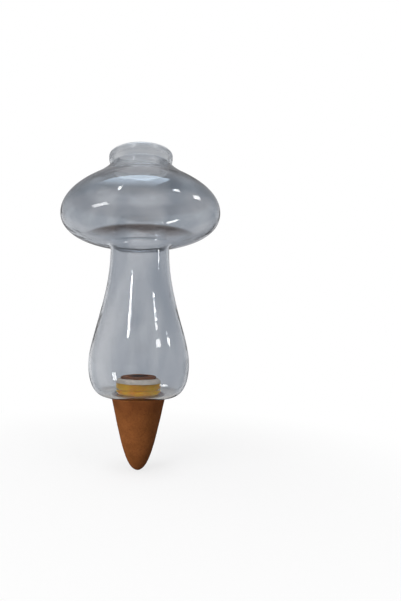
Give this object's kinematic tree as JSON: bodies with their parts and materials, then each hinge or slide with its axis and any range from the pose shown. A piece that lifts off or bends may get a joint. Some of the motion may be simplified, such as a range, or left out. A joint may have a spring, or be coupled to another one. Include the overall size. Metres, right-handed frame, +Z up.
{
  "type": "plant waterer",
  "caption": "Self-watering plant bottle: clear mushroom-shaped vessel with an open filling mouth, sealed by a ribbed sleeve onto a hollow porous clay spike for the soil.",
  "frame": {"origin": "on the axis, in the plane of the bottle's base ring, which lies on the soil when the spike is in the ground", "axes": "+Z up along the axis that bottle, seal and spike share; the part is round, so X and Y have no features of their own"},
  "size_m": [0.092, 0.092, 0.1815],
  "materials": {
    "terracotta": "matte unglazed clay, fine grain",
    "seal_silicone": "satin moulded silicone",
    "clear_glass": "clear, glossy, faintly wavy, with a cool grey cast"
  },
  "bodies": {
    "spike": {"clay_spike": "terracotta"},
    "seal": {"seal_sleeve": "seal_silicone"},
    "bottle": {"bottle": "clear_glass"}
  },
  "joints": [
    {"name": "bottle_turn", "type": "hinge", "parent": "spike", "child": "seal", "pos_m": [0, 0, 0.004], "axis": [0, 0, 1], "continuous": true},
    {"name": "bottle_lift", "type": "slide", "parent": "seal", "child": "bottle", "axis": [0, 0, 1], "range_m": [0, 0.03]}
  ]
}
